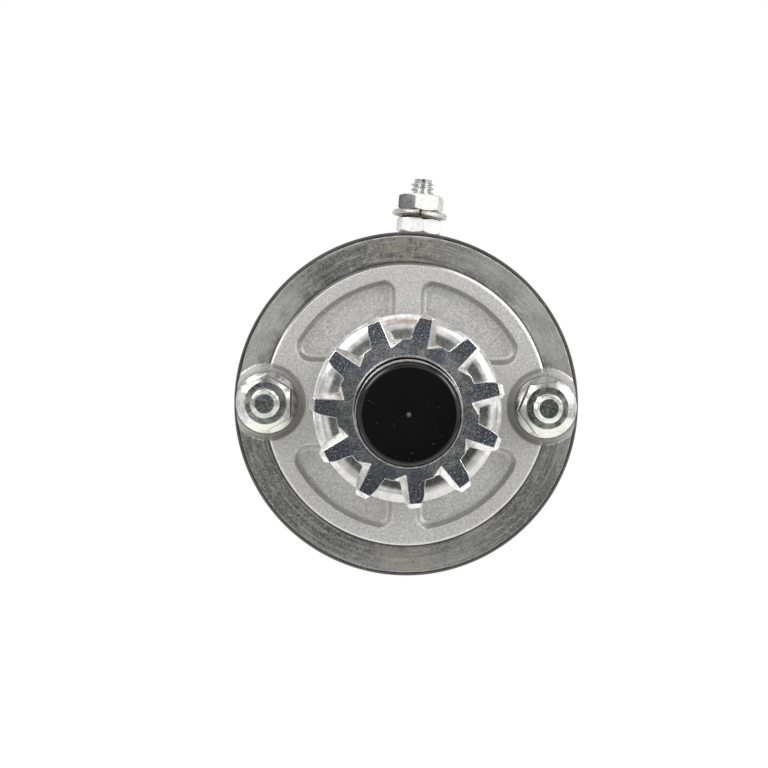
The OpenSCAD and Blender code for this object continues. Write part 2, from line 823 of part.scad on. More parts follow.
drive_end_cap();
case_tube();
rear_end_cap();
rear_gasket();
front_bushing();
rear_bushing();
field_magnets();
magnet_springs();
through_bolts();
flange_nuts();
terminal_stud();
terminal_bush();
terminal_inner_insulator();
terminal_washer();
terminal_lower_nut();
terminal_lock_washer();
terminal_upper_nut();
brush_plate();
brush_holders();
brushes();
brush_springs();
brush_leads();
armature_shaft();
armature_core();
armature_windings();
slot_insulators();
commutator_hub();
commutator_bars();
thrust_washers();
return_spring();
spring_seat_washer();
spring_retainer();
retaining_ring();
spring_cup();
dust_cap();
clutch_shell();
screw_sleeve();
clutch_cage();
clutch_rollers();
clutch_springs();
clutch_cover();
pinion_gear();
pinion_bushing();
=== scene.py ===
"""Visual model of a small starter motor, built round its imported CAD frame.

Round pieces are described in drive coordinates, in millimetres: r from the shaft axis, z from the
mounting face towards the pinion, and a clock angle from the right-hand bolt. place() turns those
into the frame's metres, where the drive end faces -Y and the battery terminal points up.
"""
import math

import bmesh
import bpy
import numpy as np
from mathutils import Matrix, Vector


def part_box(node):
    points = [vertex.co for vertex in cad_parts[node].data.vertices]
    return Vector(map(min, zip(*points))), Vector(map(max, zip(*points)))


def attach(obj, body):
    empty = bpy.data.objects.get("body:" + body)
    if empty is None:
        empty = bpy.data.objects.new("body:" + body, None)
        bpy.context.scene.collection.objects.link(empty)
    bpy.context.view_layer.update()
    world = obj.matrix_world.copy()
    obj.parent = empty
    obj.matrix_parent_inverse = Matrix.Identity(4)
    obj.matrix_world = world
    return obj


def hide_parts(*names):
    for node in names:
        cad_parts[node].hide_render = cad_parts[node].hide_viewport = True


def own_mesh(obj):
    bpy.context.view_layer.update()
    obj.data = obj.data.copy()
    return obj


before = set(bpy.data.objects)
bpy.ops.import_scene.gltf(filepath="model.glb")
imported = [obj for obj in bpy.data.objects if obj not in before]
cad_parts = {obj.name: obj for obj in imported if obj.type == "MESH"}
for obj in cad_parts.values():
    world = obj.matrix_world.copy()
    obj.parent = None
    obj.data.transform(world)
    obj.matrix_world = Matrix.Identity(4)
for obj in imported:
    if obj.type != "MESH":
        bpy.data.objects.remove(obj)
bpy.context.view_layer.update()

MM = 0.001
TAU = 2 * math.pi


# ---------------------------------------------------------------- sizes, in drive millimetres

def node_span(node):
    """(front, back) of a CAD node along the shaft."""
    low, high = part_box(node)
    return -low.y / MM, -high.y / MM


def node_radius(node):
    """Largest half width of a CAD node about the shaft."""
    low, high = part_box(node)
    return (high.x - low.x) / 2 / MM


# Case and casting
CASE_R = node_radius("case_tube")
TUBE_FRONT = node_span("case_tube")[0]
REAR_FACE = node_span("rear_end_cap")[1]
CAP_BACK = node_span("drive_end_cap")[1]
RING_R = CASE_R - 0.8
BORE_R = CASE_R - 3.0
SPIGOT_R = BORE_R - 2.5
HOLLOW_R, HOLLOW_FRONT = 26, -6
HUB_R, HUB_BACK = 13, -17
BUSH_R = 8.5
PILOT_R, PILOT_H = 31.2, 3.0
RIB_HALF = 2.65
WEB_HALF = 9.0
POCKET_R = 27.85
POCKET_HUB_R = 17.0
POCKET_DEPTH = 2.3
WEB_CORNER, RIB_CORNER, HUB_CORNER = 3.6, 2.8, 2.2

# Bolts, bosses and flange nuts; threads are 1/4-20
BOLT_X = 30.6
BOLT_TIP, BOLT_BACK = node_span("through_bolts")
BOLT_SHANK_R = 2.875
BOLT_HEAD_H = 4.2
BOSS_BASE_R, BOSS_TOP_R, BOSS_TOP = 8.35, 7.3, 3.2
THREAD_R = 3.175
THREAD_PITCH = 1.27
NUT_BORE_R = THREAD_R - 0.3
NUT_AF = 11.1
FLANGE_NUT_AF = 10.7
NUT_FLANGE_R, FLANGE_EDGE, FLANGE_TOP = 6.8, 0.9, 1.75
NUT_TOP = node_span("flange_nuts")[0]

# Terminal: its direction, how far it stands behind the face, and heights above the shaft
TERMINAL_ANGLE = math.radians(85.4)
TERMINAL_BACK = 104.0
TERMINAL_FOOT, TERMINAL_TIP = 31.2, 57.88
TERMINAL_BUSH_TOP = 37.6
LOWER_NUT = (42.85, 47.65)
UPPER_NUT = (49.0, 53.8)
LOCK_WASHER_R = 7.55

# Drive
GEAR_FRONT = node_span("pinion_gear")[0]
CLUTCH_R = node_radius("clutch_cover")
CLUTCH_FRONT, CLUTCH_BACK = node_span("clutch_cover")
CLUTCH_BORE_R = 13.1
CUP_R = node_radius("spring_cup")
CUP_FRONT, CUP_BACK = node_span("spring_cup")
CUP_WALL = 0.35
DUST_CAP_FACE = node_span("dust_cap")[0]


def place(points):
    """Drive coordinates (x, y, z) in millimetres to the frame's metres."""
    p = np.asarray(points, float)
    return np.stack([p[:, 0], -p[:, 2], p[:, 1]], axis=1) * MM


def on_terminal(points):
    """Points about the terminal's own axis, z being the distance from the shaft, to the frame.
    Local x points to the drive end and local y to the right of someone facing it."""
    p = np.asarray(points, float)
    up = np.array([math.cos(TERMINAL_ANGLE), math.sin(TERMINAL_ANGLE), 0])
    side = np.array([math.sin(TERMINAL_ANGLE), -math.cos(TERMINAL_ANGLE), 0])
    front = np.array([0, 0, 1])
    drive = p[:, :1] * front + p[:, 1:2] * side + p[:, 2:] * up
    drive[:, 2] -= TERMINAL_BACK
    return place(drive)


# ---------------------------------------------------------------- shapes: (vertices, faces)

def ring_grid(columns):
    """Closed columns of equal length that go once round an axis, joined by quads."""
    count, rows = len(columns), len(columns[0])
    verts = [point for column in columns for point in column]
    faces = []
    for i in range(count):
        j = (i + 1) % count
        for k in range(rows):
            m = (k + 1) % rows
            faces.append((i * rows + k, j * rows + k, j * rows + m, i * rows + m))
    return verts, faces


def swept(sections):
    """Closed sections of equal length joined one after another, with both ends capped."""
    last, sides = len(sections) - 1, len(sections[0])
    verts = [point for section in sections for point in section]
    faces = []
    for i in range(last):
        for k in range(sides):
            m = (k + 1) % sides
            faces.append((i * sides + k, i * sides + m, (i + 1) * sides + m, (i + 1) * sides + k))
    faces.append(tuple(range(sides)))
    faces.append(tuple(last * sides + k for k in reversed(range(sides))))
    return verts, faces


def revolve(profile, segments):
    """Closed (r, z) outline turned about the axis."""
    columns = []
    for i in range(segments):
        c, s = math.cos(TAU * i / segments), math.sin(TAU * i / segments)
        columns.append([(r * c, r * s, z) for r, z in profile])
    return ring_grid(columns)


def rounded(outline, steps):
    """Outline with rounded corners: points are (r, z) or (r, z, corner radius)."""
    result = []
    count = len(outline)
    for i, point in enumerate(outline):
        here = np.array(point[:2], float)
        radius = point[2] if len(point) > 2 else 0
        if not radius:
            result.append(tuple(here))
            continue
        before = np.array(outline[i - 1][:2], float) - here
        after = np.array(outline[(i + 1) % count][:2], float) - here
        before /= np.linalg.norm(before)
        after /= np.linalg.norm(after)
        half = math.acos(max(-1, min(1, float(before @ after)))) / 2
        reach = radius / math.tan(half)
        start, end = here + before * reach, here + after * reach
        inwards = (before + after) / np.linalg.norm(before + after)
        centre = here + inwards * radius / math.sin(half)
        a0 = math.atan2(*(start - centre)[::-1])
        a1 = math.atan2(*(end - centre)[::-1])
        turn = (a1 - a0 + math.pi) % TAU - math.pi
        for k in range(steps + 1):
            a = a0 + turn * k / steps
            result.append((centre[0] + radius * math.cos(a), centre[1] + radius * math.sin(a)))
    return result


def thread_radius(z, angle):
    """Radius of the 60 degree thread, which has flattened crests and rounded roots."""
    phase = (z / THREAD_PITCH - angle / TAU) % 1
    depth = 0.61 * THREAD_PITCH
    share = min(1, max(0, (abs(2 * phase - 1) - 0.12) / 0.7))
    return THREAD_R - depth * (share * share * (3 - 2 * share) + share) / 2


def threaded_rod(z0, z1, tip_r, chamfer, plain_to, shank_r=THREAD_R, dog=0.0):
    """Rod with a plain shank up to plain_to and then a helical thread, which ends in a chamfer
    and a plain dog point of the given length."""
    columns, per_pitch, run_out = 64, 14, 0.3
    length = z1 - plain_to
    rows = int(length / THREAD_PITCH * per_pitch)
    grid = []
    for i in range(columns):
        angle = TAU * i / columns
        c, s = math.cos(angle), math.sin(angle)
        line = [(0, z0), (shank_r, z0), (shank_r, plain_to - run_out)]
        for k in range(rows + 1):
            z = plain_to + length * k / rows
            cone = tip_r + max(0, z1 - z - dog) * (THREAD_R - tip_r) / chamfer
            line.append((min(thread_radius(z, angle), cone), z))
        line.append((0, z1))
        grid.append([(r * c, r * s, z) for r, z in line])
    return ring_grid(grid)


def hex_reach(angle, af):
    """Distance from the axis to a hexagon's side, with flats facing 0, 60, ... degrees."""
    sector = (angle + math.pi / 6) % (math.pi / 3) - math.pi / 6
    return af / 2 / math.cos(sector)


def hex_nut(z0, z1, turn, flat_r, bore=NUT_BORE_R, af=NUT_AF, flange=None):
    """Hex nut turned by an angle, with a countersunk bore. Cones cut its corners back to flat_r.
    A flange is (radius, height of its edge, height at which it meets the hexagon)."""
    slope = math.tan(math.radians(30))
    columns, sink = 144, 0.55
    grid = []
    for i in range(columns):
        angle = TAU * i / columns
        c, s = math.cos(angle + turn), math.sin(angle + turn)
        reach = hex_reach(angle, af)
        cut = max(0.02, (reach - flat_r) * slope)
        if flange:
            lip_r, lip, top = flange
            foot = [(lip_r - 0.35, z0), (lip_r, z0 + 0.3), (lip_r, z0 + lip - 0.2)]
            foot += [(lip_r - 0.25, z0 + lip), (reach + 0.4, z0 + top - 0.25)]
            foot += [(reach + 0.12, z0 + top - 0.08), (reach, z0 + top + 0.25)]
        else:
            foot = [(flat_r, z0), (reach, z0 + cut)]
        line = [(bore, z0)] + foot
        line += [(reach, z1 - cut), (flat_r, z1), (bore + sink, z1), (bore, z1 - sink)]
        grid.append([(r * c, r * s, z) for r, z in line])
    return ring_grid(grid)


def at_bolts(left, right):
    """One shape moved to the left bolt and one to the right, as a single shape."""
    verts, faces = [], []
    for x, (points, sides) in ((-BOLT_X, left), (BOLT_X, right)):
        base = len(verts)
        verts += [(a + x, b, c) for a, b, c in points]
        faces += [tuple(base + k for k in side) for side in sides]
    return verts, faces


def mirrored_z(shape, about):
    """The shape mirrored in the plane at a height."""
    verts, faces = shape
    return [(a, b, 2 * about - c) for a, b, c in verts], faces


# ---------------------------------------------------------------- pieces

def add_piece(name, shape, finish, body, replaces=None, sharp=32, bevel=None,
              to_frame=place):
    """A piece in one of MATERIALS that rides on a CAD body and may replace a CAD node. Edges
    sharper than so many degrees stay crisp; to_frame turns the shape's points into metres."""
    verts, faces = shape
    mesh = bpy.data.meshes.new(name)
    mesh.from_pydata([tuple(v) for v in to_frame(verts)], [], faces)
    work = bmesh.new()
    work.from_mesh(mesh)
    bmesh.ops.remove_doubles(work, verts=work.verts, dist=1e-7)
    bmesh.ops.recalc_face_normals(work, faces=work.faces)
    work.to_mesh(mesh)
    work.free()
    mesh.shade_smooth()
    mesh.set_sharp_from_angle(angle=math.radians(sharp))
    mesh.materials.append(MATERIALS[finish])
    piece = bpy.data.objects.new(name, mesh)
    bpy.context.scene.collection.objects.link(piece)
    if bevel:
        add_bevel(piece, bevel)
    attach(piece, body)
    if replaces:
        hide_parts(replaces)
    return piece


def add_bevel(piece, width):
    """Rounds every edge sharper than 28 degrees by width millimetres."""
    bevel = piece.modifiers.new("edges", "BEVEL")
    bevel.width = width * MM
    bevel.segments = 3
    bevel.limit_method = "ANGLE"
    bevel.angle_limit = math.radians(28)
    bevel.harden_normals = False


# ---------------------------------------------------------------- materials

class Nodes:
    """Small helper that builds a node tree; where is the tree's texture coordinates."""

    def __init__(self, tree, space):
        self.tree = tree
        self.where = self.add("ShaderNodeTexCoord").outputs[space]

    def add(self, kind, **settings):
        node = self.tree.nodes.new(kind)
        for key, value in settings.items():
            setattr(node, key, value)
        return node

    def link(self, source, target):
        """Connects a socket, or sets a number, a vector or an opaque colour."""
        if isinstance(source, (int, float)):
            target.default_value = source
        elif isinstance(source, tuple):
            target.default_value = (source + (1,))[:len(target.default_value)]
        else:
            self.tree.links.new(source, target)

    def math(self, operation, a, b=0.0, c=0.0):
        node = self.add("ShaderNodeMath", operation=operation)
        for source, socket in zip((a, b, c), node.inputs):
            self.link(source, socket)
        return node.outputs["Value"]

    def plus(self, a, b):
        return self.math("ADD", a, b)

    def times(self, product, *others):
        for other in others:
            product = self.math("MULTIPLY", product, other)
        return product

    def inverse(self, mask):
        return self.math("SUBTRACT", 1.0, mask)

    def hypot(self, a, b):
        return self.math("SQRT", self.plus(self.times(a, a), self.times(b, b)))

    def dot(self, a, b):
        node = self.add("ShaderNodeVectorMath", operation="DOT_PRODUCT")
        self.link(a, node.inputs[0])
        self.link(b, node.inputs[1])
        return node.outputs["Value"]

    def split(self, vector):
        """The x, y and z of a vector."""
        node = self.add("ShaderNodeSeparateXYZ")
        self.link(vector, node.inputs[0])
        return node.outputs

    def noise(self, scale, detail=3.0, rough=0.55, vector=None):
        node = self.add("ShaderNodeTexNoise")
        self.link(self.where if vector is None else vector, node.inputs["Vector"])
        self.link(scale, node.inputs["Scale"])
        self.link(detail, node.inputs["Detail"])
        self.link(rough, node.inputs["Roughness"])
        return node.outputs["Fac"]

    def ramp(self, source, low, high, out_low=0.0, out_high=1.0, curve="SMOOTHSTEP"):
        """out_low where the source is low or less, out_high where it is high or more."""
        node = self.add("ShaderNodeMapRange", interpolation_type=curve)
        for value, socket in zip((source, low, high, out_low, out_high), node.inputs):
            self.link(value, socket)
        return node.outputs["Result"]

    def band(self, source, rise, full, fall, end):
        """Mask that rises from the first value to the second and falls from the third to the
        last."""
        return self.times(self.ramp(source, rise, full), self.ramp(source, fall, end, 1, 0))

    def mix(self, factor, a, b, blend="MIX"):
        node = self.add("ShaderNodeMix", data_type="RGBA", blend_type=blend)
        self.link(factor, node.inputs[0])
        self.link(a, node.inputs[6])
        self.link(b, node.inputs[7])
        return node.outputs[2]


class Finish(Nodes):
    """Material whose textures use the object's own coordinates, in metres."""

    def __init__(self, name):
        self.material = bpy.data.materials.new(name)
        self.material.use_nodes = True
        super().__init__(self.material.node_tree, "Object")
        self.shader = self.tree.nodes["Principled BSDF"]

    def axis_parts(self):
        """(distance from the shaft, clock angle, distance behind the mounting face)."""
        x, y, z = self.split(self.where)
        return self.hypot(x, z), self.math("ARCTAN2", z, x), y

    def bolt_parts(self):
        """(distance outwards, distance up) from the nearer through bolt's axis."""
        x, _, z = self.split(self.where)
        return self.math("SUBTRACT", self.math("ABSOLUTE", x), BOLT_X * MM), z

    def towards(self, angle, clock):
        """1 at a clock angle in degrees, falling to -1 on the opposite side."""
        return self.math("COSINE", self.math("SUBTRACT", angle, math.radians(clock)))

    def polar(self, radial, around, along=0.0):
        """Texture space whose first axis runs outwards and second round the shaft."""
        join = self.add("ShaderNodeCombineXYZ")
        for part, scale, socket in zip(self.axis_parts(), (radial, around, along), join.inputs):
            self.link(self.times(part, scale), socket)
        return join.outputs[0]

    def stretched(self, scale, tilt=0.0):
        """Texture space turned about the shaft and then scaled along each axis."""
        turned = self.add("ShaderNodeVectorRotate", rotation_type="Y_AXIS")
        self.link(self.where, turned.inputs["Vector"])
        self.link(tilt, turned.inputs["Angle"])
        node = self.add("ShaderNodeMapping")
        self.link(turned.outputs["Vector"], node.inputs["Vector"])
        self.link(scale, node.inputs["Scale"])
        return node.outputs["Vector"]

    def bump(self, height, strength, distance, normal=None):
        node = self.add("ShaderNodeBump")
        self.link(height, node.inputs["Height"])
        self.link(strength, node.inputs["Strength"])
        self.link(distance, node.inputs["Distance"])
        if normal is not None:
            self.link(normal, node.inputs["Normal"])
        return node.outputs["Normal"]

    def rounded_edges(self, radius):
        """(mask that is 1 on edges, normal that rolls over them), for edges of this radius."""
        rolled = self.add("ShaderNodeBevel", samples=6)
        self.link(radius, rolled.inputs["Radius"])
        flat = self.add("ShaderNodeNewGeometry").outputs["Normal"]
        match = self.dot(rolled.outputs["Normal"], flat)
        return self.ramp(match, 0.99, 0.93), rolled.outputs["Normal"]

    def finish(self, colour, rough, metallic, normal=None, **sockets):
        self.link(colour, self.shader.inputs["Base Color"])
        self.link(rough, self.shader.inputs["Roughness"])
        self.link(metallic, self.shader.inputs["Metallic"])
        if normal is not None:
            self.link(normal, self.shader.inputs["Normal"])
        for name, value in sockets.items():
            self.link(value, self.shader.inputs[name.replace("_", " ")])
        return self.material


def zinc(name, dark, light, rough, grain, dents, tint=(0.55, 0.5, 0.4)):
    """Bright zinc plate: fine frosty grain, soft dents and a faint yellow passivation."""
    n = Finish(name)
    tone = n.mix(n.ramp(n.noise(130, 4, 0.6), 0.35, 0.7), dark, light)
    tone = n.mix(n.ramp(n.noise(55, 2), 0.55, 0.8, 0, 0.28), tone, tint)
    specks = n.noise(grain, 3, 0.7)
    roughness = n.ramp(specks, 0.3, 0.75, rough * 0.65, rough * 1.6)
    normal = n.bump(specks, dents, 0.00002)
    normal = n.bump(n.noise(grain * 0.3, 2), dents, 0.00003, normal)
    return n.finish(tone, roughness, 1.0, normal)


def flange_nut_zinc():
    """Stained zinc of the flange nuts. The tones are painted as the photograph's light shows
    them: grey on top and on the side that faces the shaft, pale at the bottom."""
    n = Finish("flange_nut_zinc")
    outwards, up = n.bolt_parts()
    angle = n.math("ARCTAN2", up, outwards)
    from_top = n.math("SINE", angle)
    stains = n.noise(520, 4, 0.7)
    tone = n.mix(n.ramp(stains, 0.36, 0.62), (0.46, 0.47, 0.47), (0.80, 0.80, 0.78))
    grey = n.math("MAXIMUM", n.ramp(n.math("COSINE", angle), 0.1, -0.8, 0, 0.75),
                  n.ramp(from_top, 0.35, 0.85, 0, 0.8))
    tone = n.mix(n.times(grey, n.ramp(stains, 0.3, 0.55, 1.0, 0.75)), tone, (0.22, 0.23, 0.23))
    tone = n.mix(n.ramp(from_top, -0.5, -0.95, 0, 0.7), tone, (0.74, 0.76, 0.66))
    normal = n.bump(n.noise(2600, 3, 0.7), 0.2, 0.00002)
    normal = n.bump(n.noise(500, 2), 0.3, 0.00006, normal)
    return n.finish(tone, n.ramp(stains, 0.3, 0.7, 0.22, 0.38), 1.0, normal)


def cover_zinc():
    """Bright zinc of the pressed cover, with drawn streaks and soft waves. The lower part of its
    front is painted darker, as the photograph's light shows it."""
    n = Finish("cover_zinc")
    _, angle, y = n.axis_parts()
    streaks = n.noise(1, 2, 0.5, vector=n.polar(400, 11.0, 50))
    front = -CLUTCH_FRONT * MM
    on_front = n.ramp(y, front + 0.0033, front + 0.0063, 1.0, 0.0)
    plain = n.mix(on_front, (0.80, 0.80, 0.785), (0.66, 0.665, 0.66))
    tone = n.mix(n.ramp(streaks, 0.35, 0.68), plain, (0.90, 0.90, 0.88))
    low = n.ramp(n.math("SINE", angle), -0.9, 0.35, 0.5, 0.0)
    tone = n.mix(n.times(low, on_front), tone, (0.34, 0.335, 0.31))
    roughness = n.ramp(n.noise(1700, 3, 0.7), 0.3, 0.75, 0.18, 0.28)
    normal = n.bump(streaks, 0.1, 0.0001)
    waves = n.times(n.noise(240, 2), n.math("MULTIPLY_ADD", on_front, 0.8, 0.2))
    return n.finish(tone, roughness, 1.0, n.bump(waves, 0.3, 0.0003, normal))


def cup_zinc():
    """Spring cup: bright drawn wall and a dull sheared front edge."""
    n = Finish("cup_zinc")
    _, _, y = n.axis_parts()
    streaks = n.noise(1, 3, 0.65, vector=n.polar(0, 4.0, 2600))
    wall = n.mix(n.ramp(n.noise(110, 3), 0.35, 0.65), (0.60, 0.60, 0.59), (0.76, 0.76, 0.745))
    edge = n.mix(n.ramp(n.noise(900, 3, 0.7), 0.35, 0.65), (0.26, 0.26, 0.25), (0.48, 0.48, 0.46))
    front = -CUP_FRONT * MM
    tone = n.mix(n.ramp(y, front + 0.0001, front + 0.0004), edge, wall)
    roughness = n.ramp(streaks, 0.3, 0.7, 0.2, 0.36)
    return n.finish(tone, roughness, 1.0, n.bump(streaks, 0.25, 0.00003))


def pinion_zinc():
    """Blue zinc on the pinion: duller round the bore, mirror-like with pits and specks on the
    teeth, with wear on the bevels. Its edges are lightened, partly wear and partly a painted
    highlight. Its lower left is painted darker, as the photograph's light shows it."""
    n = Finish("pinion_zinc")
    radius, angle, y = n.axis_parts()
    on_teeth = n.ramp(n.plus(radius, n.times(n.noise(300, 3, 0.7), 0.002)), 0.0145, 0.0165)
    round_bore = n.inverse(on_teeth)
    pits = n.noise(3600, 4, 0.75)
    blue = n.mix(n.ramp(n.noise(210, 4, 0.7), 0.4, 0.65), (0.30, 0.30, 0.31), (0.19, 0.27, 0.44))
    pale = n.mix(n.ramp(n.noise(90, 3), 0.35, 0.65), (0.50, 0.51, 0.54), (0.68, 0.68, 0.66))
    face = n.mix(n.ramp(n.noise(420, 3, 0.7), 0.42, 0.6, 0, 0.9), blue, pale)
    grit = n.ramp(n.noise(2600, 3, 0.8), 0.5, 0.62, 0, 0.55)
    face = n.mix(n.times(grit, round_bore), face, (0.85, 0.85, 0.84))
    teeth = n.mix(n.ramp(n.noise(260, 4, 0.7), 0.38, 0.66), (0.66, 0.68, 0.71), (0.56, 0.66, 0.84))
    sparkle = n.noise(2300, 3, 0.8)
    teeth = n.mix(n.ramp(sparkle, 0.54, 0.64, 0, 0.9), teeth, (1.0, 1.0, 1.0))
    teeth = n.mix(n.ramp(sparkle, 0.46, 0.38, 0, 0.75), teeth, (0.20, 0.22, 0.28))
    tone = n.mix(on_teeth, face, teeth)
    tone = n.mix(n.ramp(n.towards(angle, 215), -0.3, 0.9, 0, 0.35), tone, (0.15, 0.16, 0.18))
    front = -GEAR_FRONT * MM
    wear_and_highlight = n.noise(300, 3, 0.6)
    bevel = n.mix(n.ramp(wear_and_highlight, 0.36, 0.62), (0.55, 0.54, 0.50), (0.88, 0.88, 0.86))
    bevel = n.mix(n.ramp(pits, 0.45, 0.62, 0, 0.35), bevel, (0.25, 0.24, 0.22))
    bevel = n.mix(n.ramp(y, front + 0.0007, front + 0.0025, 0, 0.8), bevel, (0.74, 0.74, 0.715))
    tone = n.mix(n.ramp(y, front + 0.00003, front + 0.0001), tone, bevel)
    # Lightened edges, partly wear and partly a painted highlight, with a normal that rolls over
    # them.
    edge_wear_and_highlight, edge_normal = n.rounded_edges(0.00028)
    edge_wear_and_highlight = n.times(edge_wear_and_highlight, n.ramp(wear_and_highlight, 0.3, 0.55, 0.35, 1.0))
    tone = n.mix(edge_wear_and_highlight, tone, (0.95, 0.95, 0.92))
    roughness = n.plus(n.ramp(pits, 0.35, 0.7, 0.1, 0.3), n.times(round_bore, 0.1))
    glints = n.times(n.ramp(sparkle, 0.58, 0.68, 0, 0.25), on_teeth)
    normal = n.bump(pits, 0.5, 0.00002, edge_normal)
    normal = n.bump(n.noise(900, 3, 0.6), 0.35, 0.00004, normal)
    return n.finish(tone, n.plus(roughness, glints), 1.0, normal)


def turned_steel(name, dark, light, rough):
    """Ground or turned steel: fine rings round the shaft over a soft mottling."""
    n = Finish(name)
    rings = n.noise(1, 4, 0.7, vector=n.polar(9000, 2.0, 9000))
    tone = n.mix(n.ramp(n.noise(150, 3), 0.35, 0.7), dark, light)
    roughness = n.ramp(rings, 0.3, 0.7, rough * 0.7, rough * 1.4)
    return n.finish(tone, roughness, 1.0, n.bump(rings, 0.25, 0.00003))


def grained(name, dark, light, rough, metallic, scale, bump):
    """General fine-grained finish for cast, moulded or pressed pieces."""
    n = Finish(name)
    fine = n.noise(scale, 5, 0.65)
    blotches = n.plus(n.times(fine, 0.5), n.times(n.noise(scale * 0.12, 3), 0.5))
    tone = n.mix(n.ramp(blotches, 0.38, 0.62), dark, light)
    roughness = n.ramp(fine, 0.3, 0.7, rough * 0.8, rough * 1.25)
    return n.finish(tone, roughness, metallic, n.bump(fine, bump, 0.0001))


def black_paint():
    """Semi-gloss black stoving paint with orange peel and dust."""
    n = Finish("black_paint")
    peel = n.noise(900, 2, 0.5)
    dust = n.ramp(n.noise(4200, 2, 0.6), 0.66, 0.78)
    tone = n.mix(n.ramp(n.noise(60, 4), 0.3, 0.75), (0.008, 0.008, 0.0085), (0.018, 0.018, 0.019))
    tone = n.mix(n.times(dust, 0.25), tone, (0.16, 0.155, 0.15))
    roughness = n.plus(n.ramp(n.noise(240, 3), 0.3, 0.7, 0.24, 0.36), n.times(dust, 0.2))
    return n.finish(tone, roughness, 0.0, n.bump(peel, 0.18, 0.0001), Coat_Weight=0.35,
                    Coat_Roughness=0.12)


# The machined ring's two edges, in metres
RING_START, RING_END = PILOT_R * MM, RING_R * MM


def cast_tone(n, radius, angle, y, pebble):
    """Colour of the casting: pebbled metal, a turned land round the pilot's edge, lighter than the
    casting and painted lighter still towards the top as a highlight, and nicks in it. The sides of
    the bosses and of the upper pockets are painted darker, as the photograph's light shows them."""
    tone = n.mix(n.ramp(pebble, 0.3, 0.72), (0.41, 0.41, 0.395), (0.77, 0.77, 0.75))
    tone = n.mix(n.ramp(n.noise(70, 3), 0.35, 0.75, 0, 0.25), tone, (0.5, 0.485, 0.45))
    # The turned land is lighter, and its lightening grows towards the top: a painted highlight.
    land_and_highlight = n.times(n.ramp(radius, RING_START - 0.00058, RING_START - 0.0005),
                   n.ramp(y, 0.0001 - PILOT_H * MM, 0.0003 - PILOT_H * MM),
                   n.ramp(n.math("SINE", angle), -0.6, 0.3, 0.35, 1.0))
    tone = n.mix(land_and_highlight, tone, (0.93, 0.93, 0.91))

    outwards, up = n.bolt_parts()
    boss_side = n.band(n.hypot(outwards, up), 0.0064, 0.0066, 0.0083, 0.0088)
    shade = n.plus(n.ramp(outwards, 0.004, -0.005, 0.42, 0.62), n.ramp(up, 0.002, -0.005, 0, 0.16))
    tone = n.mix(n.times(boss_side, shade), tone, (0.12, 0.115, 0.095))
    facing_up = n.split(n.add("ShaderNodeNewGeometry").outputs["Normal"])[2]
    ledge = n.times(n.ramp(facing_up, 0.25, 0.5, 0, 0.6), n.ramp(radius, 0.0285, 0.029, 1, 0),
                    n.ramp(up, -0.004, 0.004))
    tone = n.mix(ledge, tone, (0.17, 0.168, 0.155))

    nicks = n.ramp(n.noise(1, 4, 0.8, vector=n.polar(900, 30.0)), 0.28, 0.42)
    nicks = n.times(nicks, n.ramp(n.towards(angle, 112), 0.72, 0.9),
                    n.ramp(radius, RING_START - 0.0006, RING_START - 0.0004), 0.85)
    return n.mix(nicks, tone, (0.05, 0.05, 0.045))


